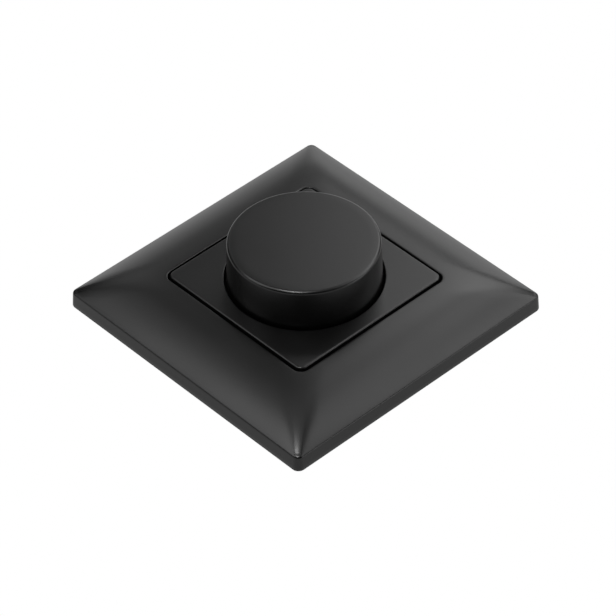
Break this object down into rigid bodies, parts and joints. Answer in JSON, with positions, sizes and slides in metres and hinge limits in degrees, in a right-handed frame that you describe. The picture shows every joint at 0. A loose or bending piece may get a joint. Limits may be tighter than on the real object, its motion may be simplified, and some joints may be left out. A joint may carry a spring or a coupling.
{
  "type": "rotary light dimmer",
  "caption": "Flush-mounted rotary dimmer: crowned square frame, flat centre plate and a large round knob that turns to dim and pushes to switch.",
  "frame": {"origin": "where the knob's axis meets the wall plane, which is the back of the cover frame and of the support plate", "axes": "+Z out of the wall along the knob's axis; +X and +Y along the sides of the square frame, with the terminal screws facing -Y"},
  "size_m": [0.086, 0.086, 0.0459],
  "materials": {
    "satin_black_plastic": "fine satin moulded thermoplastic",
    "housing_plastic": "moulded heat-resistant plastic",
    "dark_plastic": "moulded plastic",
    "zinc_steel": "zinc-plated sheet",
    "screw_steel": "zinc-plated",
    "spring_steel": "bright spring steel",
    "brass": "turned or stamped brass",
    "aluminium": "tinned metal",
    "board": "paper laminate board",
    "capacitor_yellow": "potted plastic box",
    "film_red": "dipped coating",
    "component_beige": "lacquer",
    "ferrite": "sintered ferrite",
    "copper_wire": "enamelled copper",
    "carbon": "carbon film",
    "fuse_glass": "clear glass",
    "pad": "thermal pad"
  },
  "bodies": {
    "base": {"cover_frame": "satin_black_plastic", "centre_plate": "satin_black_plastic", "pot_nut": "brass", "plate_nut": "brass", "support_plate": "zinc_steel", "rear_housing": "housing_plastic", "housing_screws": "screw_steel", "circuit_board": "board", "pot_bushing": "brass", "pot_housing": "dark_plastic", "pot_cover": "dark_plastic", "resistive_track": "carbon", "pot_lugs": "brass", "switch_body": "dark_plastic", "switch_contacts": "brass", "switch_spring": "spring_steel", "triac_body": "dark_plastic", "triac_tab": "aluminium", "triac_leads": "aluminium", "insulating_pad": "pad", "fuse_glass": "fuse_glass", "fuse_caps": "aluminium", "fuse_clips": "brass", "choke_core": "ferrite", "choke_winding": "copper_wire", "suppression_capacitor": "capacitor_yellow", "timing_capacitor": "film_red", "resistors": "component_beige", "trigger_diode": "component_beige", "terminal_cages": "brass", "terminal_clamps": "zinc_steel", "terminal_screws": "screw_steel", "triac_spring": "spring_steel"},
    "wiper": {"wiper_rotor": "dark_plastic", "wiper_contact": "brass"},
    "stem": {"control_shaft": "brass", "rotary_knob": "satin_black_plastic", "knob_spring_clip": "spring_steel"},
    "slider": {"switch_slider": "dark_plastic", "switch_bridge": "brass"}
  },
  "joints": [
    {"name": "knob_turn", "type": "hinge", "parent": "base", "child": "wiper", "pos_m": [0, 0, 0], "axis": [0, 0, -1], "range_deg": [0, 270]},
    {"name": "knob_push", "type": "slide", "parent": "wiper", "child": "stem", "axis": [0, 0, -1], "range_m": [0, 0.001], "stiffness_N_per_m": 2500, "springref_m": -0.0006},
    {"name": "switch_press", "type": "slide", "parent": "base", "child": "slider", "axis": [0, 0, -1], "range_m": [0, 0.001], "deforming": ["switch_spring"]}
  ],
  "couplings": [
    {"joint": "switch_press", "follows": "knob_push", "ratio": 1}
  ]
}
